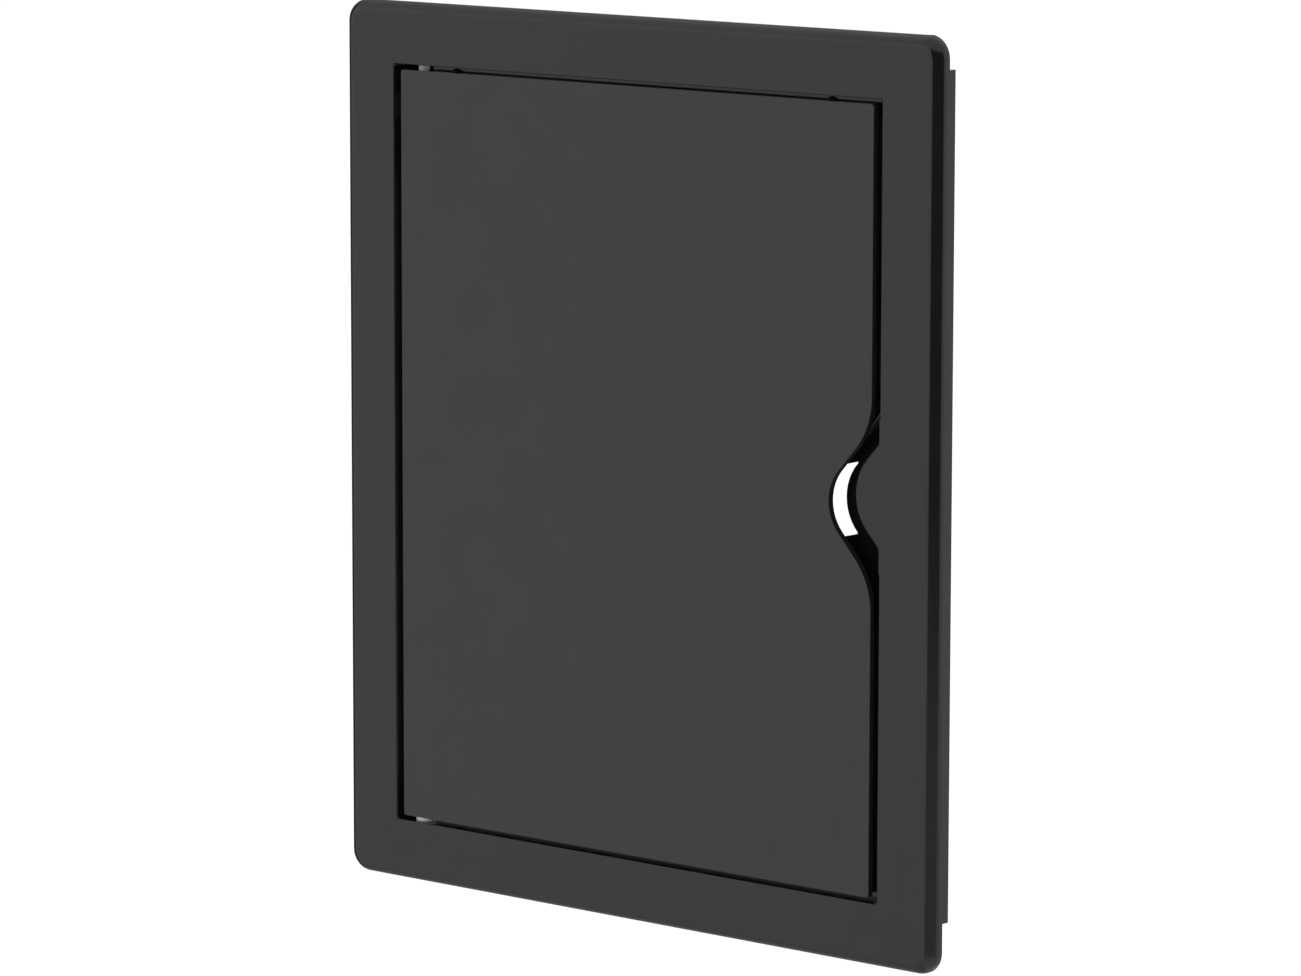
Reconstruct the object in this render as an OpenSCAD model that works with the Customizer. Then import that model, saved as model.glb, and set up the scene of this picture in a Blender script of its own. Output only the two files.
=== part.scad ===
// Flush wall access panel: a moulded frame with an inset door that swings on two
// vertical pins at its left edge and is held shut by two magnetic catches.
// X runs to the right, Z up and Y into the wall. Y = 0 is the wall's surface, and the
// origin is the centre of the opening cut in the wall.

/* [Frame] */
// Overall width of the frame
frame_w = 275; // [255:1:340]
// Overall height of the frame
frame_h = 325; // [295:1:420]
// Thickness of the flange, from the wall to its front face
flange_t = 5.8; // [4.8:0.1:7]
// Radius of the flange's corners
corner_r = 8; // [5:0.5:14]
// Rounding of the flange's front edge
edge_r = 4.4; // [1.6:0.1:4.6]
// Border left and right of the door opening
side_border = 24.6; // [23:0.1:32]
// Border above and below the door opening
end_border = 22.6; // [21:0.1:30]
// Rounding of the border's inner front edge
lip_r = 0.6; // [0.4:0.1:1.6]
// Wall thickness of the frame moulding
wall_t = 2.2; // [1.8:0.1:2.4]

/* [Collar] */
// Distance from the flange's edge to the collar
collar_inset = 13.4; // [10:0.1:14]
// How far the collar reaches into the wall
collar_depth = 20.6; // [18:0.2:60]
// Diameter of the screw holes in the collar's sides
screw_hole_d = 4.5; // [3:0.1:6]
// Distance between the two screw holes of one side
screw_spacing = 200; // [150:1:230]

/* [Door] */
// Gap between door and frame at the left and the right
side_gap = 3.5; // [3.3:0.1:5]
// Gap between door and frame above and below
end_gap = 1.9; // [1.5:0.1:3]
// Thickness of the door plate
door_t = 2.5; // [2.2:0.1:3]
// Radius of the door's corners
door_corner_r = 1.2; // [0.6:0.1:3]
// Thickness of the stiffening ribs on the door's back
rib_t = 1.8; // [1.2:0.1:2.4]
// Height of the stiffening ribs
rib_h = 7; // [4:0.5:8]

/* [Hinge] */
// Distance from the door's left edge to the hinge axis
hinge_inset = 6; // [5.8:0.1:6.6]
// Distance from the front face back to the hinge axis
hinge_depth = 6; // [5.8:0.1:6.2]
// Diameter of the hinge pins
pin_d = 4; // [3:0.1:4.4]
// Gap all round a pin in the bore that it turns or slides in
pin_clearance = 0.05; // [0.02:0.01:0.1]
// How far the sliding upper pin reaches into the frame
bolt_reach = 4.2; // [3:0.1:4.6]
// Wire diameter of the spring behind the sliding pin
spring_wire_d = 0.7; // [0.5:0.1:0.8]
// Number of turns of that spring
spring_turns = 7; // [5:1:8]

/* [Finger grip] */
// Height of the grip's centre above the middle of the door
grip_z = -0.3; // [-40:0.1:40]
// Depth of the notch in the door's edge
notch_depth = 18.7; // [14:0.1:22]
// Radius of the notch's bottom
notch_r = 16; // [12:0.5:20]
// Radius that blends the notch into the door's edge
notch_blend_r = 27; // [15:0.5:32]
// Slope of the notch's flanks, from the vertical
flank_deg = 42; // [36:1:48]
// How far the frame's finger tab reaches into the opening
tab_reach = 10.1; // [6:0.1:11]
// Radius of the tab's nose
tab_nose_r = 18; // [12:0.5:22]
// Width of the step around the tab
tab_step_w = 5.2; // [4.6:0.1:7]
// Height of the see-through slot
slot_h = 25.3; // [16:0.1:30]
// Width of the see-through slot
slot_w = 9.5; // [8:0.5:11]

/* [Catches and bumpers] */
// Height of each magnetic catch above or below the middle
catch_z = 78; // [66:1:90]
// Length of the magnet
magnet_l = 20; // [12:0.5:24]
// Width of the magnet
magnet_w = 6; // [4:0.5:6.5]
// Diameter of the rubber bumpers
bumper_d = 5.6; // [4:0.1:6.4]

/* [Hidden] */
$fn = 72;

abs_colour = "#3f4042";
dark_colour = "#1f2021";
acetal_colour = "#d9d6cc";
steel_colour = "#a9adb0";
magnet_colour = "#4b4744";
zinc_colour = "#b9bdc2";

// Overlap that fuses two shapes of one moulding
fuse = 0.4;
// How far a cutter runs past the surface that it opens
past = 1;
// Rest gap between a moving and a fixed piece
rest_gap = 0.3;
// Gap round a piece that is pushed into its seat
seat_gap = 0.05;

// Depths, from the front face back into the wall
face_y = -flange_t;
plate_back_y = face_y + wall_t;
door_back_y = face_y + door_t;
ledge_t = 2;
ledge_w = 7;
ledge_y = face_y + 5.6;
ledge_back_y = ledge_y + ledge_t;
step_y = face_y + 7.4;
floor_y = face_y + 10;
floor_t = 2;
screw_y = collar_depth * 0.6;

// Widths and heights
opening_w = frame_w - 2 * side_border;
opening_h = frame_h - 2 * end_border;
opening_r = 1.6;
collar_w = frame_w - 2 * collar_inset;
collar_h = frame_h - 2 * collar_inset;
door_w = opening_w - 2 * side_gap;
door_h = opening_h - 2 * end_gap;
skirt_t = wall_t + 0.2;

// Hinge axis
hinge_x = -door_w / 2 + hinge_inset;
hinge_y = face_y + hinge_depth;
lug_wall_t = 2.4;
lug_r = pin_d / 2 + lug_wall_t;
boss_wall_t = 4.5;
boss_x = pin_d / 2 + boss_wall_t;
boss_back_y = hinge_y + boss_x;
bore_depth = bolt_reach + 1.6;
bolt_travel = bolt_reach + 0.8;
upper_lug_h = 10;
lower_lug_h = 12;
guide_h = 7;
thumb_h = 8;
thumb_w = 7;
thumb_reach = 8;
thumb_top_z = door_h / 2 - upper_lug_h - rest_gap;
thumb_low_z = thumb_top_z - thumb_h;
spring_l = bolt_travel + (spring_turns + 1) * spring_wire_d + 1.4;
guide_top_z = thumb_low_z - spring_l;
spring_r = pin_d / 2 + 0.5 + spring_wire_d / 2;
ledge_start_x = hinge_x + lug_r + 2 * rest_gap;
channel_y = hinge_y + 9.4;
channel_t = 2;

// Finger grip
tab_z = grip_z + 3.5;
tab_x = opening_w / 2 - tab_reach + tab_nose_r;
notch_x = door_w / 2 - notch_depth + notch_r;
slot_z = grip_z + 0.3;
slot_x = opening_w / 2 - tab_reach - 12.1;
slot_in_r = 17.3;
slot_lean = 0.25;
pocket_w = 9.6;
pocket_half_h = 43;
pocket_reach = 36;
pocket_top_z = grip_z + pocket_half_h;
pocket_low_z = grip_z - pocket_half_h;
land_x = opening_w / 2 - ledge_w - 5;
ramp_w = 1.4;
ramp_drop = 1;

// Catches
housing_w = magnet_w + 2;
housing_l = magnet_l + 4.8;
housing_front_y = door_back_y + 1.6;
housing_back_y = face_y + 13.6;
catch_inset = 2;
housing_x = door_w / 2 - catch_inset - housing_w / 2;
cell_wall = 1.5;
cell_back_y = face_y + 12.5;
barb = 0.7;
magnet_t = 5;
strike_t = 0.8;
magnet_front_y = door_back_y + strike_t + 0.4;
strike_w = housing_w;
strike_l = housing_l + 2;

// Bumpers
bumper_h = ledge_y - door_back_y - rest_gap;
bumper_x = opening_w / 2 - 26;
bumper_z = opening_h / 2 - ledge_w / 2;

// Gives a flat outline in X and Z its depth, from front_y back to back_y
module slab(front_y, back_y) {
    translate([0, back_y, 0])
        rotate([90, 0, 0])
            linear_extrude(height = back_y - front_y)
                children();
}

// A box given by its two opposite corners
module box(from, to) {
    translate(from)
        cube([to[0] - from[0], to[1] - from[1], to[2] - from[2]]);
}

// A round bar, or a round cutter, along Z
module upright(x, y, low, high, radius) {
    translate([x, y, low])
        cylinder(r = radius, h = high - low);
}

module rounded_rectangle(w, h, r) {
    square([w - 2 * r, h], center = true);
    square([w, h - 2 * r], center = true);
    for (sx = [-1, 1])
        for (sz = [-1, 1])
            translate([sx * (w / 2 - r), sz * (h / 2 - r)])
                circle(r);
}

// One quarter of a disc, in the quadrant where both coordinates are positive
module quarter_disc(r) {
    intersection() {
        circle(r);
        square(r);
    }
}

// What a rounded edge takes off a square one, in the same quadrant
module corner_waste(r) {
    difference() {
        square(r + 0.01);
        circle(r);
    }
}

// A nose with two straight flanks that spread to the right
module tab_outline(grow) {
    r = tab_nose_r + grow;
    touch_x = tab_x - r * cos(flank_deg);
    touch_z = r * sin(flank_deg);
    root_x = opening_w / 2 + wall_t;
    run = (root_x - touch_x) / tan(flank_deg);
    intersection() {
        union() {
            translate([tab_x, tab_z])
                circle(r);
            polygon([
                [touch_x, tab_z + touch_z],
                [root_x, tab_z + touch_z + run],
                [root_x, tab_z - touch_z - run],
                [touch_x, tab_z - touch_z]
            ]);
        }
        translate([0, tab_z - 60])
            square([root_x, 120]);
    }
}

// The opening in the flange, with the finger tab left standing
module opening_outline() {
    difference() {
        rounded_rectangle(opening_w, opening_h, opening_r);
        tab_outline(0);
    }
}

// The finger notch: a round bottom, straight flanks and a blend into the edge
module notch_outline() {
    edge_x = door_w / 2;
    blend_x = edge_x - notch_blend_r;
    bottom_x = notch_x - notch_r * cos(flank_deg);
    bottom_z = notch_r * sin(flank_deg);
    top_x = blend_x + notch_blend_r * cos(flank_deg);
    top_z = bottom_z + (top_x - bottom_x) / tan(flank_deg);
    end_z = top_z + notch_blend_r * sin(flank_deg);
    translate([0, grip_z])
        difference() {
            union() {
                translate([notch_x, 0])
                    circle(notch_r);
                polygon([
                    [bottom_x, bottom_z], [top_x, top_z], [edge_x, end_z], [edge_x + past, end_z],
                    [edge_x + past, -end_z], [edge_x, -end_z], [top_x, -top_z], [bottom_x, -bottom_z]
                ]);
            }
            for (side = [-1, 1])
                translate([blend_x, side * end_z])
                    circle(notch_blend_r);
        }
}

// The crescent slot: a ring's sector between two ends that slope the same way
module slot_outline() {
    centre_x = slot_x + slot_in_r;
    left_x = slot_x - slot_w;
    right_x = slot_x + 5;
    rise = slot_lean * (right_x - left_x);
    translate([0, slot_z])
        intersection() {
            difference() {
                translate([centre_x, 0])
                    circle(slot_in_r + slot_w);
                translate([centre_x, 0])
                    circle(slot_in_r);
            }
            polygon([
                [left_x, slot_h / 2 - rise], [right_x, slot_h / 2],
                [right_x, -slot_h / 2], [left_x, -slot_h / 2 - rise]
            ]);
        }
}

// Flat plate with round corners and a rounded front edge all the way round
module flange_body() {
    flat_w = frame_w - 2 * edge_r;
    flat_h = frame_h - 2 * edge_r;
    slab(face_y + edge_r, 0)
        rounded_rectangle(frame_w, frame_h, corner_r);
    slab(face_y, 0)
        rounded_rectangle(flat_w, flat_h, corner_r - edge_r);
    for (sx = [-1, 1])
        translate([sx * flat_w / 2, face_y + edge_r, 0])
            mirror([sx < 0 ? 1 : 0, 0, 0])
                mirror([0, 1, 0])
                    linear_extrude(height = frame_h - 2 * corner_r, center = true)
                        quarter_disc(edge_r);
    for (sz = [-1, 1])
        translate([0, face_y + edge_r, sz * flat_h / 2])
            mirror([0, 0, sz < 0 ? 1 : 0])
                rotate([90, 0, 90])
                    linear_extrude(height = frame_w - 2 * corner_r, center = true)
                        mirror([1, 0])
                            quarter_disc(edge_r);
    for (sx = [-1, 1])
        for (sz = [-1, 1])
            translate([sx * (frame_w / 2 - corner_r), face_y + edge_r, sz * (frame_h / 2 - corner_r)])
                rotate([90, 0, 0])
                    rotate_extrude()
                        translate([corner_r - edge_r, 0])
                            quarter_disc(edge_r);
}

// Waste along the opening's straight front edges, which leaves them rounded
module lip_waste() {
    tab_clear = 27;
    upper_l = opening_h / 2 - tab_clear - tab_z;
    lower_l = opening_h / 2 - tab_clear + tab_z;
    translate([-opening_w / 2 - lip_r, face_y + lip_r, 0])
        mirror([0, 1, 0])
            linear_extrude(height = opening_h, center = true)
                corner_waste(lip_r);
    for (sz = [-1, 1])
        translate([0, face_y + lip_r, sz * (opening_h / 2 + lip_r)])
            mirror([0, 0, sz > 0 ? 1 : 0])
                rotate([90, 0, 90])
                    linear_extrude(height = opening_w, center = true)
                        mirror([1, 0])
                            corner_waste(lip_r);
    translate([opening_w / 2 + lip_r, face_y + lip_r, opening_h / 2 - upper_l])
        rotate([0, 0, 180])
            linear_extrude(height = upper_l)
                corner_waste(lip_r);
    translate([opening_w / 2 + lip_r, face_y + lip_r, -opening_h / 2])
        rotate([0, 0, 180])
            linear_extrude(height = lower_l)
                corner_waste(lip_r);
}

// The flange moulded as a shell, open towards the wall
module flange_shell() {
    difference() {
        flange_body();
        slab(plate_back_y, past)
            rounded_rectangle(frame_w - 2 * skirt_t, frame_h - 2 * skirt_t, corner_r - skirt_t);
        slab(face_y - past, past)
            opening_outline();
        lip_waste();
    }
}

// Short webs that stiffen the flange between its skirt and the collar
module flange_webs() {
    web_t = 1.6;
    for (sx = [-1, 1])
        for (step = [-2 : 2])
            box([sx > 0 ? collar_w / 2 - fuse : -frame_w / 2 + skirt_t - fuse,
                 plate_back_y - fuse, step * 55 - web_t / 2],
                [sx > 0 ? frame_w / 2 - skirt_t + fuse : -collar_w / 2 + fuse,
                 -0.4, step * 55 + web_t / 2]);
    for (sz = [-1, 1])
        for (step = [-1.5 : 1.5])
            box([step * 55 - web_t / 2, plate_back_y - fuse,
                 sz > 0 ? collar_h / 2 - fuse : -frame_h / 2 + skirt_t - fuse],
                [step * 55 + web_t / 2, -0.4,
                 sz > 0 ? frame_h / 2 - skirt_t + fuse : -collar_h / 2 + fuse]);
}

module collar_wall() {
    slab(plate_back_y - fuse, collar_depth)
        difference() {
            square([collar_w, collar_h], center = true);
            square([collar_w - 2 * wall_t, collar_h - 2 * wall_t], center = true);
        }
}

// Wall that turns back from the edge of the opening and round the finger tab
module return_wall() {
    slab(plate_back_y - fuse, ledge_back_y)
        difference() {
            union() {
                square([opening_w + 2 * wall_t, opening_h + 2 * wall_t], center = true);
                tab_outline(0);
            }
            opening_outline();
            intersection() {
                tab_outline(-wall_t);
                translate([0, tab_z - 50])
                    square([opening_w / 2 + wall_t, 100]);
            }
        }
}

// Channel behind the hinge, where the door's left edge swings to
module hinge_channel() {
    left_x = -opening_w / 2 - wall_t;
    right_x = hinge_x + boss_x;
    end_z = opening_h / 2 + wall_t;
    back_y = channel_y + channel_t;
    box([left_x, channel_y, -end_z], [right_x, back_y, end_z]);
    box([left_x, plate_back_y - fuse, -end_z], [-opening_w / 2, back_y, end_z]);
    box([left_x, ledge_y, opening_h / 2], [right_x, back_y, end_z]);
    box([left_x, ledge_y, -end_z], [right_x, back_y, -opening_h / 2]);
}

// Ledge behind the door's edge at the top, the bottom and the right. A wider land
// ends it above the finger pocket.
module door_ledge() {
    end_x = opening_w / 2 + fuse;
    high = opening_h / 2 + fuse;
    low = opening_h / 2 - ledge_w;
    box([ledge_start_x, ledge_y, low], [end_x, ledge_back_y, high]);
    box([ledge_start_x, ledge_y, -high], [end_x, ledge_back_y, -low]);
    difference() {
        union() {
            box([opening_w / 2 - ledge_w, ledge_y, -high], [end_x, ledge_back_y, high]);
            box([land_x, ledge_y, tab_z], [end_x, ledge_back_y, pocket_top_z]);
        }
        slab(ledge_y - past, ledge_back_y + past) {
            tab_outline(pocket_w);
            translate([land_x, pocket_low_z + wall_t])
                square([end_x + past - land_x, tab_z - pocket_low_z - wall_t]);
        }
        ramp_waste();
    }
}

// Waste along the ledge's edge above the finger pocket, which leaves it sloped
module ramp_waste() {
    r = tab_nose_r + pocket_w;
    over = ramp_drop * past / ramp_w;
    translate([tab_x - r * cos(flank_deg), ledge_y, tab_z + r * sin(flank_deg)])
        rotate([0, flank_deg, 0])
            linear_extrude(height = pocket_half_h, center = true)
                polygon([[-ramp_w - past, -over], [past, -over], [past, ramp_drop + over], [-ramp_w, 0]]);
}

// Step round the finger tab, the deeper floor behind the notch and their walls
module finger_pocket() {
    outer_x = opening_w / 2 + wall_t;
    slab(step_y, step_y + floor_t)
        difference() {
            tab_outline(tab_step_w);
            tab_outline(-wall_t);
        }
    slab(step_y, floor_y + fuse)
        difference() {
            tab_outline(tab_step_w);
            tab_outline(tab_step_w - wall_t);
        }
    box([door_w / 2 - pocket_reach, floor_y, pocket_low_z],
        [outer_x, floor_y + floor_t, pocket_top_z]);
    slab(ledge_back_y - fuse, floor_y + fuse)
        intersection() {
            difference() {
                tab_outline(pocket_w + wall_t);
                tab_outline(pocket_w);
            }
            translate([land_x, tab_z])
                square([outer_x - land_x, pocket_top_z - tab_z]);
        }
    for (end_z = [pocket_low_z, pocket_top_z - wall_t])
        box([land_x, ledge_y, end_z], [outer_x, floor_y + fuse, end_z + wall_t]);
    box([opening_w / 2, ledge_y, pocket_low_z], [outer_x, floor_y + fuse, pocket_top_z]);
}

// Solid block that carries a hinge pin, between the opening and the collar
module hinge_boss() {
    box([-opening_w / 2 - fuse, plate_back_y - fuse, opening_h / 2],
        [hinge_x + boss_x, boss_back_y, collar_h / 2 - wall_t + fuse]);
}

// Cell in the ledge that holds a catch housing
module catch_cell() {
    box([housing_x - housing_w / 2 - cell_wall, ledge_y, -housing_l / 2 - cell_wall],
        [opening_w / 2 + fuse, cell_back_y, housing_l / 2 + cell_wall]);
}

module catch_hole() {
    gap = seat_gap;
    box([housing_x - housing_w / 2 - gap, ledge_y - past, -housing_l / 2 - gap],
        [housing_x + housing_w / 2 + gap, cell_back_y + past, housing_l / 2 + gap]);
}

module frame() {
    color(abs_colour)
        difference() {
            union() {
                flange_shell();
                flange_webs();
                collar_wall();
                return_wall();
                door_ledge();
                finger_pocket();
                hinge_channel();
                hinge_boss();
                mirror([0, 0, 1])
                    hinge_boss();
                for (z = [-catch_z, catch_z])
                    translate([0, 0, z])
                        catch_cell();
            }
            slab(floor_y - past, floor_y + floor_t + past)
                slot_outline();
            for (z = [-catch_z, catch_z])
                translate([0, 0, z])
                    catch_hole();
            upright(hinge_x, hinge_y, opening_h / 2 - past, opening_h / 2 + bore_depth,
                    pin_d / 2 + pin_clearance);
            upright(hinge_x, hinge_y, -opening_h / 2 - bore_depth, -opening_h / 2 + past, pin_d / 2);
            for (sx = [-1, 1])
                for (sz = [-1, 1])
                    translate([sx * (collar_w - wall_t) / 2, screw_y, sz * screw_spacing / 2])
                        rotate([0, 90, 0])
                            cylinder(d = screw_hole_d, h = wall_t + 2 * past, center = true);
        }
}

// A lug on the door's back, with a round end about the hinge axis
module hinge_lug(low, high) {
    upright(hinge_x, hinge_y, low, high, lug_r);
    box([hinge_x - lug_r, door_back_y - fuse, low], [hinge_x + lug_r, hinge_y, high]);
}

// Rib frame and cross ribs on the door's back
module door_ribs() {
    left_x = hinge_x + 16;
    right_x = door_w / 2 - pocket_reach - 5;
    half_h = door_h / 2 - 16;
    mid_x = (left_x + right_x) / 2;
    back_y = door_back_y + rib_h;
    for (x = [left_x, mid_x, right_x])
        box([x - rib_t / 2, door_back_y - fuse, -half_h], [x + rib_t / 2, back_y, half_h]);
    for (z = [-half_h, -half_h / 3, half_h / 3, half_h])
        box([left_x - rib_t / 2, door_back_y - fuse, z - rib_t / 2],
            [right_x + rib_t / 2, back_y, z + rib_t / 2]);
}

module door_leaf() {
    top_z = door_h / 2;
    guide_low_z = guide_top_z - guide_h;
    color(abs_colour)
        difference() {
            union() {
                slab(face_y, door_back_y)
                    difference() {
                        rounded_rectangle(door_w, door_h, door_corner_r);
                        notch_outline();
                    }
                hinge_lug(top_z - upper_lug_h, top_z);
                hinge_lug(guide_low_z, guide_top_z);
                hinge_lug(-top_z, -top_z + lower_lug_h);
                door_ribs();
            }
            upright(hinge_x, hinge_y, guide_low_z - past, top_z + past,
                    pin_d / 2 + pin_clearance);
            upright(hinge_x, hinge_y, -top_z - past, -top_z + lower_lug_h + past,
                    pin_d / 2 + pin_clearance);
        }
}

// Fixed pin, pushed into the frame below the door
module lower_hinge_pin() {
    color(steel_colour)
        upright(hinge_x, hinge_y, -opening_h / 2 - bore_depth + 0.2,
                -opening_h / 2 + end_gap + lower_lug_h - past, pin_d / 2);
}

// Sliding pin with a thumb block, in the two upper lugs of the door
module hinge_bolt() {
    color(acetal_colour) {
        upright(hinge_x, hinge_y, guide_top_z - guide_h + past, opening_h / 2 + bolt_reach, pin_d / 2);
        box([hinge_x - thumb_w / 2, hinge_y - pin_d / 2, thumb_low_z],
            [hinge_x + thumb_w / 2, hinge_y + thumb_reach, thumb_top_z]);
    }
}

// Points of a ring of wire at one step of the helix
function wire_ring(angle, z, sides) = [
    for (i = [0 : sides - 1])
        let (turn = 360 * i / sides, r = spring_r + spring_wire_d / 2 * cos(turn))
            [r * cos(angle), r * sin(angle), z + spring_wire_d / 2 * sin(turn)]
];

// Compression spring that pushes the sliding pin up into the frame
module bolt_spring() {
    sides = 8;
    turn_steps = 16;
    steps = turn_steps * spring_turns;
    low_z = guide_top_z + spring_wire_d / 2 + 0.05;
    climb = spring_l - spring_wire_d - 0.1;
    points = [
        for (step = [0 : steps])
            each wire_ring(360 * step / turn_steps, low_z + climb * step / steps, sides)
    ];
    walls = [
        for (step = [0 : steps - 1])
            for (i = [0 : sides - 1])
                let (a = step * sides + i, b = step * sides + (i + 1) % sides)
                    each [[a, a + sides, b], [b, a + sides, b + sides]]
    ];
    start_cap = [for (i = [0 : sides - 1]) i];
    end_cap = [for (i = [sides - 1 : -1 : 0]) steps * sides + i];
    color(steel_colour)
        translate([hinge_x, hinge_y, 0])
            polyhedron(points = points, faces = concat(walls, [start_cap, end_cap]));
}

// Washer that carries the door's weight on the frame
module thrust_washer() {
    color(acetal_colour)
        difference() {
            upright(hinge_x, hinge_y, -opening_h / 2, -opening_h / 2 + end_gap - rest_gap, lug_r - 0.4);
            upright(hinge_x, hinge_y, -opening_h / 2 - past, -opening_h / 2 + end_gap + past,
                    pin_d / 2 + pin_clearance);
        }
}

// Plastic housing with two barbs that snap behind the frame's cell
module catch_housing(z) {
    color(dark_colour)
        translate([housing_x, 0, z])
            difference() {
                union() {
                    box([-housing_w / 2, housing_front_y, -housing_l / 2],
                        [housing_w / 2, housing_back_y, housing_l / 2]);
                    box([-housing_w / 4, cell_back_y + seat_gap, -housing_l / 2 - barb],
                        [housing_w / 4, housing_back_y, housing_l / 2 + barb]);
                }
                box([-magnet_w / 2 - seat_gap, housing_front_y - past, -magnet_l / 2 - seat_gap],
                    [magnet_w / 2 + seat_gap, magnet_front_y + magnet_t + seat_gap, magnet_l / 2 + seat_gap]);
            }
}

module magnet(z) {
    color(magnet_colour)
        box([housing_x - magnet_w / 2, magnet_front_y, z - magnet_l / 2],
            [housing_x + magnet_w / 2, magnet_front_y + magnet_t, z + magnet_l / 2]);
}

// Steel plate bonded to the door's back, opposite a magnet
module strike_plate(z) {
    color(zinc_colour)
        translate([housing_x, 0, z])
            slab(door_back_y, door_back_y + strike_t)
                rounded_rectangle(strike_w, strike_l, 1);
}

// Round rubber bumper on the ledge
module bumper(x, z) {
    color(dark_colour)
        translate([x, ledge_y, z])
            rotate([90, 0, 0])
                cylinder(d = bumper_d, h = bumper_h);
}

frame();
door_leaf();
lower_hinge_pin();
thrust_washer();
hinge_bolt();
bolt_spring();
catch_housing(catch_z);  // upper_catch_housing
magnet(catch_z);  // upper_magnet
strike_plate(catch_z);  // upper_strike_plate
catch_housing(-catch_z);  // lower_catch_housing
magnet(-catch_z);  // lower_magnet
strike_plate(-catch_z);  // lower_strike_plate
bumper(-bumper_x, bumper_z);  // upper_left_bumper
bumper(bumper_x, bumper_z);  // upper_right_bumper
bumper(-bumper_x, -bumper_z);  // lower_left_bumper
bumper(bumper_x, -bumper_z);  // lower_right_bumper
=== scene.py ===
"""Studio scene of a flush wall access panel: a moulded frame with an inset door."""

import logging
import math
import random
from dataclasses import dataclass
from enum import Enum
from typing import Iterable, Sequence

import bmesh
import bpy
from mathutils import Matrix, Vector


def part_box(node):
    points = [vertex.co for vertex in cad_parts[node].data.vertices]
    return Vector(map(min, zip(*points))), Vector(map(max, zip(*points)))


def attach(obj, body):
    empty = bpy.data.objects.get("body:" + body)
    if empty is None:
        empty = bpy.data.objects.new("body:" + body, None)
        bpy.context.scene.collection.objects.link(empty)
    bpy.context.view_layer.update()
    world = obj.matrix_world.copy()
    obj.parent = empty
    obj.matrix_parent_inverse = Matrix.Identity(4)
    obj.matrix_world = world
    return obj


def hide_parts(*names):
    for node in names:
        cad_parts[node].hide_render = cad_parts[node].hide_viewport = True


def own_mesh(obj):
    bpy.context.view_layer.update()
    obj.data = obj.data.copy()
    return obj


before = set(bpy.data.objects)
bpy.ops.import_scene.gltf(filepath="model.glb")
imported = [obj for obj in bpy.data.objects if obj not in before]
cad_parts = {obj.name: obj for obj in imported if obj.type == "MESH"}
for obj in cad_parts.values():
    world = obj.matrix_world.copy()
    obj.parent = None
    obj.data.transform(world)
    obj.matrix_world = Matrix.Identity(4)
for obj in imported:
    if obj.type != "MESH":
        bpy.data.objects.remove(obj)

LOG = logging.getLogger("access_panel")
MM = 0.001
Point = tuple[float, float, float]


class Body(Enum):
    """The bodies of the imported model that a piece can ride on."""

    FRAME = "frame_body"
    DOOR = "door_body"
    BOLT = "bolt_body"


class Slot(Enum):
    """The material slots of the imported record."""

    ABS = "abs_anthracite"
    HOUSING = "abs_black"
    ACETAL = "acetal"
    PIN = "steel_pin"
    SPRING = "spring_steel"
    ZINC = "zinc_steel"
    FERRITE = "ferrite"
    RUBBER = "rubber"


def linear(hex_colour: str) -> tuple[float, float, float, float]:
    """Turns an sRGB hex colour into the linear colour that a shader takes.

    Args:
        hex_colour: six hex digits with or without a leading hash.

    Returns:
        Linear red, green, blue and an alpha of one.
    """
    digits = hex_colour.lstrip("#")
    channels = [int(digits[i:i + 2], 16) / 255 for i in (0, 2, 4)]
    red, green, blue = (
        c / 12.92 if c <= 0.04045 else ((c + 0.055) / 1.055) ** 2.4 for c in channels
    )
    return red, green, blue, 1.0


def add_node(tree: bpy.types.NodeTree, kind: str, links: dict | None = None,
             settings: dict | None = None, **inputs: object) -> bpy.types.Node:
    """Adds one node with its settings, its input values and its incoming links.

    Args:
        tree: node tree that gets the node.
        kind: the node's type name.
        links: output socket for each input name or number.
        settings: values of the node's own properties.
        inputs: values of unlinked inputs, with _ for a space in the name.

    Returns:
        The new node.
    """
    node = tree.nodes.new(kind)
    for name, value in (settings or {}).items():
        setattr(node, name, value)
    for name, value in inputs.items():
        node.inputs[name.replace("_", " ")].default_value = value
    for name, source in (links or {}).items():
        tree.links.new(source, node.inputs[name])
    return node


def per_mm(size_mm: float) -> float:
    """The scale of a pattern whose features are size_mm apart."""
    return 1 / (size_mm * MM)


# ---------------------------------------------------------------- finishes


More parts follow.
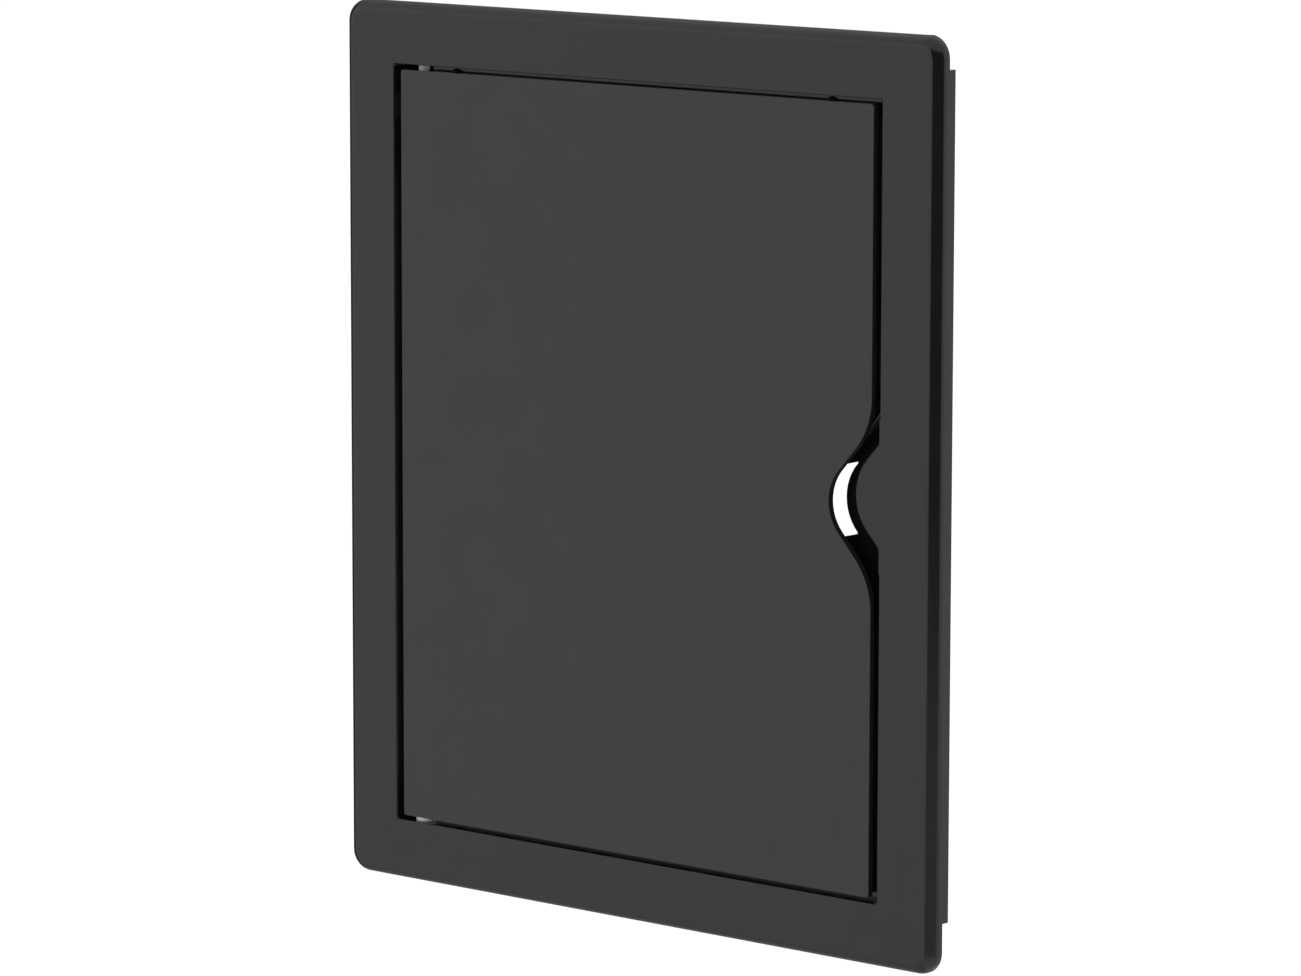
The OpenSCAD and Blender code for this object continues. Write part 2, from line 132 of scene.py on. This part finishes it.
@dataclass(frozen=True)
class Finish:
    """A surface finish: a base colour, a gloss and a fine pattern in each.

    Pattern sizes are in millimetres. The patterns lie in the object's own space, so they
    stay on the piece when it moves.
    """

    name: str
    slot: Slot | None
    colour: str
    shade: str
    roughness: float
    roughness_spread: float
    ior: float = 1.5
    metallic: float = 0.0
    mottle_mm: float = 6.0
    grain_mm: float = 0.6
    grain_depth_mm: float = 0.004
    stretch: Point = (1.0, 1.0, 1.0)

    def build(self) -> bpy.types.Material:
        """Makes the material, or returns it if it is there already.

        Returns:
            The material with its node tree.
        """
        known = bpy.data.materials.get(self.name)
        if known is not None and known.get("finish_made"):
            return known
        material = bpy.data.materials.new(self.name)
        material.use_nodes = True
        material["finish_made"] = True
        tree = material.node_tree
        tree.nodes.clear()
        place = self.place(tree)
        bump = self.bump(tree, place)
        surface = add_node(
            tree, "ShaderNodeBsdfPrincipled",
            links={"Base Color": self.tint(tree, place),
                   "Roughness": self.gloss(tree, place), "Normal": bump},
            Metallic=self.metallic)
        if not self.metallic:
            surface.inputs["IOR"].default_value = self.ior
        add_node(tree, "ShaderNodeOutputMaterial",
                 links={"Surface": surface.outputs["BSDF"]})
        material.diffuse_color = linear(self.colour)
        return material

    def place(self, tree: bpy.types.NodeTree) -> bpy.types.NodeSocket:
        """Object coordinates in metres, drawn out along the direction of the process."""
        coordinates = add_node(tree, "ShaderNodeTexCoord")
        mapping = add_node(tree, "ShaderNodeMapping",
                           links={"Vector": coordinates.outputs["Object"]},
                           Scale=self.stretch)
        return mapping.outputs["Vector"]

    def noise(self, tree: bpy.types.NodeTree, place: bpy.types.NodeSocket,
              size_mm: float, detail: float = 2.0) -> bpy.types.NodeSocket:
        """A noise value with features of about size_mm."""
        node = add_node(tree, "ShaderNodeTexNoise", links={"Vector": place},
                        Scale=per_mm(size_mm), Detail=detail, Roughness=0.5)
        return node.outputs["Fac"]

    def tint(self, tree: bpy.types.NodeTree,
             place: bpy.types.NodeSocket) -> bpy.types.NodeSocket:
        """The base colour: two close tones in soft patches."""
        ramp = add_node(tree, "ShaderNodeMapRange",
                        links={"Value": self.noise(tree, place, self.mottle_mm, 3.0)},
                        From_Min=0.3, From_Max=0.7)
        mix = add_node(tree, "ShaderNodeMix", settings={"data_type": "RGBA"},
                       links={"Factor": ramp.outputs["Result"]})
        colours = [s for s in mix.inputs if s.type == "RGBA"]
        colours[0].default_value = linear(self.colour)
        colours[1].default_value = linear(self.shade)
        return next(s for s in mix.outputs if s.type == "RGBA")

    def gloss(self, tree: bpy.types.NodeTree,
              place: bpy.types.NodeSocket) -> bpy.types.NodeSocket:
        """The roughness, which varies a little from patch to patch."""
        spread = add_node(
            tree, "ShaderNodeMapRange",
            links={"Value": self.noise(tree, place, self.mottle_mm * 2.5, 4.0)},
            From_Min=0.25, From_Max=0.75,
            To_Min=max(0.02, self.roughness - self.roughness_spread),
            To_Max=self.roughness + self.roughness_spread)
        return spread.outputs["Result"]

    def relief(self, tree: bpy.types.NodeTree,
               place: bpy.types.NodeSocket) -> bpy.types.NodeSocket:
        """The height pattern of the finish, from 0 to 1."""
        return self.noise(tree, place, self.grain_mm)

    def bump(self, tree: bpy.types.NodeTree,
             place: bpy.types.NodeSocket) -> bpy.types.NodeSocket:
        """Turns the height pattern into a normal."""
        node = add_node(tree, "ShaderNodeBump",
                        links={"Height": self.relief(tree, place)},
                        Strength=1.0, Distance=self.grain_depth_mm * MM)
        return node.outputs["Normal"]


@dataclass(frozen=True)
class MouldedAbs(Finish):
    """Injection-moulded ABS from a polished tool.

    It gives a deep, nearly black body under a clean gloss that mirrors the studio softly,
    with the slight waviness of a moulded sheet and no visible grain.
    """

    wave_mm: float = 45.0
    wave_depth_mm: float = 0.012

    def relief(self, tree: bpy.types.NodeTree,
               place: bpy.types.NodeSocket) -> bpy.types.NodeSocket:
        """Fine tool texture on top of slow sink waves."""
        fine = self.noise(tree, place, self.grain_mm)
        slow = self.noise(tree, place, self.wave_mm, 0.0)
        waves = add_node(tree, "ShaderNodeMath", settings={"operation": "MULTIPLY_ADD"})
        tree.links.new(slow, waves.inputs[0])
        waves.inputs[1].default_value = self.wave_depth_mm / self.grain_depth_mm
        tree.links.new(fine, waves.inputs[2])
        return waves.outputs[0]


@dataclass(frozen=True)
class DrawnMetal(Finish):
    """Metal with fine lines along one direction, as drawing or grinding leaves them."""

    def relief(self, tree: bpy.types.NodeTree,
               place: bpy.types.NodeSocket) -> bpy.types.NodeSocket:
        """Long thin scratches: noise drawn out by the finish's own stretch."""
        return self.noise(tree, place, self.grain_mm, 6.0)


@dataclass(frozen=True)
class ZincPlate(Finish):
    """Electroplated zinc on punched steel sheet: pale grey with a soft crystalline bloom."""

    def relief(self, tree: bpy.types.NodeTree,
               place: bpy.types.NodeSocket) -> bpy.types.NodeSocket:
        """Crystal grains of the plating."""
        cells = add_node(tree, "ShaderNodeTexVoronoi", links={"Vector": place},
                         Scale=per_mm(self.grain_mm))
        return cells.outputs["Distance"]


@dataclass(frozen=True)
class SinteredFerrite(Finish):
    """Sintered and ground ferrite: a dull charcoal with open pores and grinding marks."""

    def relief(self, tree: bpy.types.NodeTree,
               place: bpy.types.NodeSocket) -> bpy.types.NodeSocket:
        """Pores between the sintered grains."""
        cells = add_node(tree, "ShaderNodeTexVoronoi", links={"Vector": place},
                         settings={"feature": "F1"}, Scale=per_mm(self.grain_mm))
        pores = add_node(tree, "ShaderNodeMapRange",
                         links={"Value": cells.outputs["Distance"]},
                         From_Min=0.05, From_Max=0.3)
        return pores.outputs["Result"]


FRAME_ABS = MouldedAbs("abs_moulded_polished_frame", Slot.ABS, "#101112", "#131415",
                       roughness=0.12, roughness_spread=0.02, mottle_mm=14.0,
                       grain_mm=0.5, grain_depth_mm=0.0012)
DOOR_ABS = MouldedAbs("abs_moulded_polished_door", Slot.ABS, "#1b1c1d", "#1d1e1f",
                      roughness=0.12, roughness_spread=0.02, mottle_mm=18.0,
                      grain_mm=0.5, grain_depth_mm=0.0012)
# Carbon-black ABS straight from an etched tool: a flat, soft black.
HOUSING_ABS = Finish("abs_moulded_matt_housing", Slot.HOUSING, "#1d1d1e", "#232324",
                     roughness=0.55, roughness_spread=0.06, mottle_mm=4.0,
                     grain_mm=0.35, grain_depth_mm=0.01)
# Natural acetal: milky off-white, slightly waxy, with a low sheen.
ACETAL = Finish("acetal_moulded_natural", Slot.ACETAL, "#dcd9cf", "#e6e3da",
                roughness=0.38, roughness_spread=0.05, ior=1.48, mottle_mm=3.0,
                grain_mm=0.4, grain_depth_mm=0.004)
# Centreless-ground steel: bright, with fine rings round the pin.
GROUND_STEEL = DrawnMetal("steel_ground_pin", Slot.PIN, "#b4b7ba", "#a6a9ac",
                          roughness=0.24, roughness_spread=0.06, metallic=1.0,
                          mottle_mm=2.0, grain_mm=0.5, grain_depth_mm=0.003,
                          stretch=(1.0, 1.0, 6.0))
# Drawn spring wire: a darker steel, streaked along the drawing direction.
SPRING_WIRE = DrawnMetal("steel_drawn_spring_wire", Slot.SPRING, "#9c9fa3", "#84878b",
                         roughness=0.3, roughness_spread=0.08, metallic=1.0,
                         mottle_mm=1.2, grain_mm=0.25, grain_depth_mm=0.003)
ZINC = ZincPlate("steel_zinc_plated_strike", Slot.ZINC, "#b9bdc0", "#c6c9cd",
                 roughness=0.34, roughness_spread=0.08, metallic=1.0, mottle_mm=5.0,
                 grain_mm=0.8, grain_depth_mm=0.006)
FERRITE = SinteredFerrite("ferrite_sintered_ground", Slot.FERRITE, "#3a3835", "#2e2c2a",
                          roughness=0.6, roughness_spread=0.1, mottle_mm=1.5,
                          grain_mm=0.5, grain_depth_mm=0.02, stretch=(1.0, 1.0, 0.5))
# Moulded nitrile rubber: a dusty black without any mirror to it.
RUBBER = Finish("rubber_nitrile_moulded", Slot.RUBBER, "#191919", "#222222",
                roughness=0.72, roughness_spread=0.08, mottle_mm=1.6,
                grain_mm=0.3, grain_depth_mm=0.012)
# Cured contact adhesive: a translucent amber squeeze-out, glossy where it ran.
ADHESIVE = Finish("adhesive_acrylic_cured", None, "#b9a77a", "#a8935f",
                  roughness=0.22, roughness_spread=0.08, ior=1.48, mottle_mm=1.0,
                  grain_mm=0.6, grain_depth_mm=0.03)


# ---------------------------------------------------------------- mesh helpers


def new_piece(name: str, mesh: bmesh.types.BMesh, finish: Finish, body: Body,
              smooth_deg: float = 40.0) -> bpy.types.Object:
    """Turns a bmesh into a named object with its finish, riding on a body.

    Args:
        name: name of the piece.
        mesh: its shape, in metres in the shared frame. It is freed here.
        finish: finish that the piece gets.
        body: body that it moves with.
        smooth_deg: edges flatter than this are shaded smooth.

    Returns:
        The new object.
    """
    bmesh.ops.recalc_face_normals(mesh, faces=mesh.faces)
    limit = math.radians(smooth_deg)
    for face in mesh.faces:
        face.smooth = True
    for edge in mesh.edges:
        edge.smooth = len(edge.link_faces) == 2 and edge.calc_face_angle(0.0) < limit
    data = bpy.data.meshes.new(name)
    mesh.to_mesh(data)
    mesh.free()
    piece = bpy.data.objects.new(name, data)
    bpy.context.scene.collection.objects.link(piece)
    data.materials.append(finish.build())
    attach(piece, body.value)
    LOG.info("built %s on %s: %d faces", name, body.value, len(data.polygons))
    return piece


def axis_matrix(origin: Point, axis: Point) -> Matrix:
    """The transform that puts a shape built along +Z at origin, pointing along axis."""
    turn = Vector((0, 0, 1)).rotation_difference(Vector(axis))
    return Matrix.Translation(Vector(origin)) @ turn.to_matrix().to_4x4()


def lathe(mesh: bmesh.types.BMesh, profile: Sequence[tuple[float, float]],
          where: Matrix, steps: int = 32) -> None:
    """Adds a turned shape to a bmesh.

    Args:
        mesh: bmesh that gets the shape.
        profile: pairs of radius and height in metres, from the bottom's centre to the
            top's centre. A radius of zero closes the shape in one point.
        where: transform from the shape's own Z axis to the shared frame.
        steps: number of steps round.
    """
    rings = []
    for radius, height in profile:
        if radius <= 0:
            rings.append([mesh.verts.new(where @ Vector((0, 0, height)))])
            continue
        rings.append([
            mesh.verts.new(where @ Vector((radius * math.cos(a), radius * math.sin(a), height)))
            for a in (2 * math.pi * i / steps for i in range(steps))
        ])
    for low, high in zip(rings, rings[1:]):
        for i in range(steps):
            j = (i + 1) % steps
            corners = [low[i % len(low)], low[j % len(low)],
                       high[j % len(high)], high[i % len(high)]]
            unique = list(dict.fromkeys(corners))
            if len(unique) >= 3:
                mesh.faces.new(unique)


def tube(mesh: bmesh.types.BMesh, path: Sequence[Vector], radius: float,
         closed: bool = False, sides: int = 12) -> None:
    """Adds a round bar along a path.

    Args:
        mesh: bmesh that gets the bar.
        path: points of its centreline.
        radius: radius of the bar.
        closed: whether the last point joins the first.
        sides: number of sides of the bar.
    """
    rings = []
    count = len(path)
    for i, point in enumerate(path):
        after = path[(i + 1) % count] if closed or i < count - 1 else point
        before = path[i - 1] if closed or i > 0 else point
        along = (after - before).normalized()
        side = along.cross(Vector((0, 0, 1)))
        if side.length < 1e-6:
            side = along.cross(Vector((0, 1, 0)))
        side.normalize()
        up = side.cross(along)
        rings.append([
            mesh.verts.new(point + radius * (math.cos(a) * side + math.sin(a) * up))
            for a in (2 * math.pi * k / sides for k in range(sides))
        ])
    pairs = list(zip(rings, rings[1:])) + ([(rings[-1], rings[0])] if closed else [])
    for low, high in pairs:
        for k in range(sides):
            m = (k + 1) % sides
            mesh.faces.new([low[k], low[m], high[m], high[k]])
    if not closed:
        mesh.faces.new(rings[0])
        mesh.faces.new(rings[-1])


@dataclass
class CadNode:
    """A carried-over solid: it keeps its shape, and gets a finish and eased edges."""

    node: str
    finish: Finish
    edge_mm: float = 0.2

    def dress(self) -> bpy.types.Object:
        """Puts the finish on the node and eases its sharp edges with modifiers.

        Returns:
            The node's object.
        """
        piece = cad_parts[self.node]
        material = self.finish.build()
        for slot in piece.material_slots:
            slot.link = "OBJECT"
            slot.material = material
        if self.edge_mm > 0:
            weld = piece.modifiers.new("join_patches", "WELD")
            weld.merge_threshold = 1e-6
            ease = piece.modifiers.new("eased_edges", "BEVEL")
            ease.width = self.edge_mm * MM
            ease.segments = 2
            ease.limit_method = "ANGLE"
            ease.angle_limit = math.radians(38)
            ease.use_clamp_overlap = True
            shade = piece.modifiers.new("flat_faces_flat", "WEIGHTED_NORMAL")
            shade.keep_sharp = False
            shade.weight = 100
        LOG.info("dressed %s with %s", self.node, self.finish.name)
        return piece


# ---------------------------------------------------------------- sub-assemblies


@dataclass
class WitnessMarks:
    """Round witness marks that ejector pins leave on the hidden side of a moulding."""

    name: str
    finish: Finish
    body: Body
    centres: Sequence[tuple[float, float, float]]
    radius: float = 3.0 * MM
    height: float = 0.08 * MM

    def build(self) -> bpy.types.Object:
        """Makes one low rim for each pin, sunk into the surface that it stands on."""
        mesh = bmesh.new()
        sunk = 0.05 * MM
        for centre in self.centres:
            profile = [
                (self.radius - 0.25 * MM, -sunk), (self.radius + 0.25 * MM, -sunk),
                (self.radius + 0.12 * MM, self.height), (self.radius - 0.12 * MM, self.height),
                (self.radius - 0.25 * MM, -sunk),
            ]
            lathe(mesh, profile, axis_matrix(centre, (0, 1, 0)), 28)
        bmesh.ops.remove_doubles(mesh, verts=mesh.verts, dist=1e-7)
        return new_piece(self.name, mesh, self.finish, self.body)


@dataclass
class FrameMoulding:
    """The frame: one moulding with flange, collar, ledge, finger tab and recess."""

    edge_mm: float = 0.18
    flange_back_y: float = -3.6 * MM
    channel_x: float = 129.6 * MM
    channel_z: float = 154.6 * MM
    web_pitch: float = 55.0 * MM

    def build(self) -> None:
        """Dresses the frame and adds its witness marks."""
        CadNode("frame", FRAME_ABS, self.edge_mm).dress()
        WitnessMarks("frame_ejector_marks", FRAME_ABS, Body.FRAME,
                     list(self.mark_centres()), radius=2.5 * MM).build()

    def mark_centres(self) -> Iterable[Point]:
        """Marks in the channel between the webs, on both sides, and above and below."""
        for side in (-1, 1):
            for step in (-1.5, -0.5, 0.5, 1.5):
                yield side * self.channel_x, self.flange_back_y, step * self.web_pitch
            for step in (-1, 0, 1):
                yield step * self.web_pitch, self.flange_back_y, side * self.channel_z


@dataclass
class DoorMoulding:
    """The door: a flush plate with the finger notch, its ribs and its hinge lugs."""

    edge_mm: float = 0.25
    back_y: float = -3.3 * MM

    def build(self) -> None:
        """Dresses the door and adds its witness marks and gate scar."""
        CadNode("door_leaf", DOOR_ABS, self.edge_mm).dress()
        WitnessMarks("door_ejector_marks", DOOR_ABS, Body.DOOR,
                     list(self.mark_centres())).build()
        self.build_gate_scar()

    def mark_centres(self) -> Iterable[Point]:
        """Two marks in each cell of the ribs."""
        for x in (-58.0, 15.0):
            for z in (-96.0, -68.0, -14.0, 14.0, 68.0, 96.0):
                yield x * MM, self.back_y, z * MM

    def build_gate_scar(self) -> bpy.types.Object:
        """The snapped-off stub of the sprue on the crossing of the ribs."""
        mesh = bmesh.new()
        profile = [(0, -0.3 * MM), (2.4 * MM, -0.3 * MM), (2.1 * MM, 0.5 * MM),
                   (1.7 * MM, 0.62 * MM), (1.2 * MM, 0.45 * MM), (0.6 * MM, 0.7 * MM),
                   (0, 0.6 * MM)]
        lathe(mesh, profile, axis_matrix((-21.5 * MM, self.back_y, 0.0), (0, 1, 0)), 20)
        return new_piece("door_gate_scar", mesh, DOOR_ABS, Body.DOOR)


@dataclass
class HingeSet:
    """The two pivots: a fixed pin below, and a sprung sliding bolt above."""

    axis_x: float = -103.4 * MM
    axis_y: float = 0.2 * MM
    seat_z: float = 107.7 * MM
    travel: float = 5.0 * MM
    wire_r: float = 0.35 * MM
    coil_r: float = 2.85 * MM
    turns: int = 7

    def build(self) -> None:
        """Dresses the pins and the washer and winds the spring."""
        CadNode("lower_hinge_pin", GROUND_STEEL, 0.3).dress()
        CadNode("thrust_washer", ACETAL, 0.12).dress()
        CadNode("hinge_bolt", ACETAL, 0.3).dress()
        self.build_thumb_ridges()
        self.build_spring()

    def build_thumb_ridges(self) -> bpy.types.Object:
        """Five grip ridges across the back of the bolt's thumb block."""
        low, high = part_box("hinge_bolt")
        mesh = bmesh.new()
        block_top = 127.7 * MM
        block_low = block_top - 8.0 * MM
        pitch = 1.4 * MM
        middle = (block_low + block_top) / 2
        half = 2.9 * MM
        for i in range(-2, 3):
            z = middle + i * pitch
            ridge = [Vector((self.axis_x + s * half, high.y, z)) for s in (-1, 1)]
            tube(mesh, [ridge[0], ridge[0].lerp(ridge[1], 0.5), ridge[1]], 0.35 * MM)
        return new_piece("bolt_thumb_ridges", mesh, ACETAL, Body.BOLT)

    def build_spring(self) -> bpy.types.Object:
        """The compression spring, with closed end turns, between its seat and the bolt."""
        low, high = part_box("bolt_spring")
        length = high.z - low.z - 2 * self.wire_r
        steps_per_turn = 40
        steps = steps_per_turn * (self.turns + 1)
        path = []
        for i in range(steps + 1):
            share = i / steps
            turn = share * (self.turns + 1)
            climb = self.closed_ends(turn)
            angle = 2 * math.pi * turn
            path.append(Vector((self.axis_x + self.coil_r * math.cos(angle),
                                self.axis_y + self.coil_r * math.sin(angle),
                                low.z + self.wire_r + climb * length)))
        mesh = bmesh.new()
        tube(mesh, path, self.wire_r)
        spring = new_piece("hinge_bolt_spring", mesh, SPRING_WIRE, Body.DOOR)
        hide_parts("bolt_spring")
        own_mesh(spring)
        return spring

    def closed_ends(self, turn: float) -> float:
        """The share of the spring's height reached after this many turns."""
        total = self.turns + 1
        flat = 0.9
        dead = 0.055
        if turn < flat:
            return dead * turn / flat
        if turn > total - flat:
            return 1 - dead * (total - turn) / flat
        return dead + (1 - 2 * dead) * (turn - flat) / (total - 2 * flat)


@dataclass
class MagneticCatch:
    """One catch: a housing with its magnet in the ledge and a strike plate on the door."""

    prefix: str
    bead_r: float = 0.22 * MM

    def build(self) -> None:
        """Dresses the three solids and lays the adhesive round the strike plate."""
        CadNode(f"{self.prefix}_catch_housing", HOUSING_ABS, 0.15).dress()
        CadNode(f"{self.prefix}_magnet", FERRITE, 0.25).dress()
        CadNode(f"{self.prefix}_strike_plate", ZINC, 0.1).dress()
        self.build_adhesive()

    def build_adhesive(self) -> bpy.types.Object:
        """The thin squeezed-out bead of adhesive along the plate's edge."""
        low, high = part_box(f"{self.prefix}_strike_plate")
        draw = random.Random(f"{self.prefix}_adhesive")
        corner = 1.0 * MM
        path = []
        centre = (low + high) / 2
        half_w = (high.x - low.x) / 2
        half_h = (high.z - low.z) / 2
        for quarter, (sx, sz) in enumerate(((1, 1), (-1, 1), (-1, -1), (1, -1))):
            for i in range(7):
                a = math.pi / 2 * (quarter + i / 6)
                swell = draw.uniform(-0.04, 0.05) * MM
                path.append(Vector((
                    centre.x + sx * (half_w - corner) + (corner + swell) * math.cos(a),
                    low.y, centre.z + sz * (half_h - corner) + (corner + swell) * math.sin(a))))
        mesh = bmesh.new()
        tube(mesh, path, self.bead_r, closed=True, sides=8)
        return new_piece(f"{self.prefix}_strike_adhesive", mesh, ADHESIVE, Body.DOOR)


@dataclass
class BumperSet:
    """The four rubber bumpers that the closed door rests against."""

    names: Sequence[str] = ("upper_left", "upper_right", "lower_left", "lower_right")

    def build(self) -> None:
        """Makes each bumper as a domed moulding in the place of its solid."""
        for name in self.names:
            self.build_bumper(f"{name}_bumper")

    def build_bumper(self, node: str) -> bpy.types.Object:
        """A bumper with a flared foot, a waist and a domed top."""
        low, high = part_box(node)
        radius = (high.x - low.x) / 2
        height = high.y - low.y
        shape = [(0.0, 0.0), (0.97, 0.0), (1.0, 0.06), (1.0, 0.16), (0.93, 0.24),
                 (0.86, 0.42), (0.83, 0.6), (0.78, 0.74), (0.66, 0.87), (0.46, 0.95),
                 (0.24, 0.99), (0.0, 1.0)]
        centre = (low + high) / 2
        mesh = bmesh.new()
        where = axis_matrix((centre.x, high.y, centre.z), (0, -1, 0))
        lathe(mesh, [(r * radius, h * height) for r, h in shape], where, 40)
        pad = new_piece(f"{node}_domed", mesh, RUBBER, Body.FRAME, 50)
        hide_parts(node)
        return pad


# ---------------------------------------------------------------- studio


@dataclass
class Camera:
    """The camera, in front of the panel and to its right, a little above it."""

    place: Point = (1.4052, -1.6476, 0.3223)
    yaw_deg: float = 40.36
    pitch_deg: float = 8.61
    roll_deg: float = 0.1
    lens_mm: float = 170.2
    sensor_mm: float = 36.0

    def build(self) -> bpy.types.Object:
        """Places the camera and makes it the scene's own."""
        yaw, pitch, roll = (math.radians(a) for a in
                            (self.yaw_deg, self.pitch_deg, self.roll_deg))
        forward = Vector((-math.sin(yaw) * math.cos(pitch),
                          math.cos(yaw) * math.cos(pitch), -math.sin(pitch)))
        level = Vector((math.cos(yaw), math.sin(yaw), 0))
        above = level.cross(forward)
        right = math.cos(roll) * level + math.sin(roll) * above
        up = math.cos(roll) * above - math.sin(roll) * level
        data = bpy.data.cameras.new("studio_camera")
        data.lens = self.lens_mm
        data.sensor_width = self.sensor_mm
        data.dof.use_dof = False
        camera = bpy.data.objects.new("studio_camera", data)
        bpy.context.scene.collection.objects.link(camera)
        turn = Matrix((right, up, -forward)).transposed().to_4x4()
        camera.matrix_world = Matrix.Translation(Vector(self.place)) @ turn
        bpy.context.scene.camera = camera
        return camera


@dataclass
class Studio:
    """A bright light tent with one unlit side, and a plain pale floor well below."""

    floor_z: float = -0.75
    floor_half: float = 30.0
    tent_r: float = 4.05
    world_level: float = 1.1
    rings: int = 60
    sectors: int = 120

    def build(self) -> None:
        """Makes the floor, the tent, the light and the camera."""
        bpy.context.scene.view_settings.view_transform = "Standard"
        self.build_world()
        self.build_floor()
        self.build_tent()
        Camera().build()

    def build_world(self) -> None:
        """An even white surround."""
        world = bpy.data.worlds.new("tent_light")
        world.use_nodes = True
        tree = world.node_tree
        tree.nodes.clear()
        glow = add_node(tree, "ShaderNodeBackground", Color=(1.0, 1.0, 1.0, 1.0),
                        Strength=self.world_level)
        add_node(tree, "ShaderNodeOutputWorld", links={"Surface": glow.outputs[0]})
        bpy.context.scene.world = world

    def build_floor(self) -> bpy.types.Object:
        """A wide pale floor."""
        material = bpy.data.materials.new("floor_painted_matt")
        material.use_nodes = True
        tree = material.node_tree
        tree.nodes.clear()
        paint = add_node(tree, "ShaderNodeBsdfDiffuse", Color=linear("#fafafa"))
        add_node(tree, "ShaderNodeOutputMaterial", links={"Surface": paint.outputs[0]})
        mesh = bmesh.new()
        half = self.floor_half
        mesh.faces.new([mesh.verts.new((sx * half, sy * half, self.floor_z))
                        for sx, sy in ((-1, -1), (1, -1), (1, 1), (-1, 1))])
        data = bpy.data.meshes.new("floor")
        mesh.to_mesh(data)
        mesh.free()
        floor = bpy.data.objects.new("floor", data)
        bpy.context.scene.collection.objects.link(floor)
        data.materials.append(material)
        floor.visible_glossy = False
        return floor

    def tent_level(self, azimuth: float, elevation: float) -> float:
        """Brightness of the tent's wall in one direction.

        Args:
            azimuth: degrees anticlockwise from +X, seen from above.
            elevation: degrees above the horizon.

        Returns:
            The radiance that polished plastic mirrors from there.
        """

        def step(value: float, start: float, end: float) -> float:
            share = min(1.0, max(0.0, (value - start) / (end - start)))
            return share * share * (3 - 2 * share)

        down = -elevation
        key = step(azimuth, -172, -150) * (1 - step(azimuth, -100, -90))
        unlit = step(azimuth, -100, -90) * (1 - step(azimuth, 2, 18))
        right = step(azimuth, 2, 18) * (1 - step(azimuth, 95, 115))
        rear = step(azimuth, 95, 115)
        far = 1 - key - unlit - right
        horizon = rear * (1 - step(azimuth, 145, 160)) * step(elevation, -5, 0)
        horizon *= 1 - step(elevation, 11, 13.5)
        key_level = 0.92 + 0.1 * step(elevation, -4, 14) - 0.12 * step(down, 8, 30)
        key_level -= 0.25 * step(down, 30, 55)
        unlit_level = 0.04 + 0.38 * step(down, 9.5, 12.0) + 0.4 * step(down, 14, 35)
        far_level = 0.1 + 0.72 * step(elevation, 12, 65) + 0.35 * step(down, 20, 55)
        far_level += 1.05 * horizon
        wall = key * key_level + unlit * unlit_level + right * 0.78 + far * far_level
        overhead = step(elevation, 22, 40) * (1 - far)
        return wall + overhead * (0.8 - wall)

    def build_tent(self) -> bpy.types.Object:
        """The tent's wall, which only reflections see."""
        mesh = bmesh.new()
        levels = mesh.verts.layers.float_color.new("level")
        rows = []
        for i in range(self.rings + 1):
            elevation = -90 + 180 * i / self.rings
            row = []
            for k in range(self.sectors):
                azimuth = -180 + 360 * k / self.sectors
                a, e = math.radians(azimuth), math.radians(elevation)
                vert = mesh.verts.new(Vector((math.cos(a) * math.cos(e),
                                              math.sin(a) * math.cos(e),
                                              math.sin(e))) * self.tent_r)
                shade = self.tent_level(azimuth, elevation)
                vert[levels] = (shade, shade, shade, 1.0)
                row.append(vert)
            rows.append(row)
        for low, high in zip(rows, rows[1:]):
            for k in range(self.sectors):
                m = (k + 1) % self.sectors
                mesh.faces.new([low[k], low[m], high[m], high[k]])
        data = bpy.data.meshes.new("tent")
        mesh.to_mesh(data)
        mesh.free()
        material = bpy.data.materials.new("tent_cloth_lit")
        material.use_nodes = True
        tree = material.node_tree
        tree.nodes.clear()
        level = add_node(tree, "ShaderNodeAttribute", settings={"attribute_name": "level"})
        cloth = add_node(tree, "ShaderNodeEmission", links={"Color": level.outputs["Color"]})
        add_node(tree, "ShaderNodeOutputMaterial", links={"Surface": cloth.outputs[0]})
        data.materials.append(material)
        tent = bpy.data.objects.new("tent", data)
        bpy.context.scene.collection.objects.link(tent)
        tent.visible_camera = False
        tent.visible_diffuse = False
        tent.visible_transmission = False
        tent.visible_volume_scatter = False
        tent.visible_shadow = False
        return tent


def corners(box: tuple[Vector, Vector]) -> list[list[float]]:
    """A box's two corners as plain lists."""
    return [list(box[0]), list(box[1])]


def main() -> None:
    """Builds every sub-assembly and the studio in order."""
    logging.basicConfig(level=logging.INFO, format="%(message)s")
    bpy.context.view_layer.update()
    FrameMoulding().build()
    DoorMoulding().build()
    HingeSet().build()
    for prefix in ("upper", "lower"):
        MagneticCatch(prefix).build()
    BumperSet().build()
    Studio().build()
    bpy.context.view_layer.update()


if __name__ == "__main__":
    main()
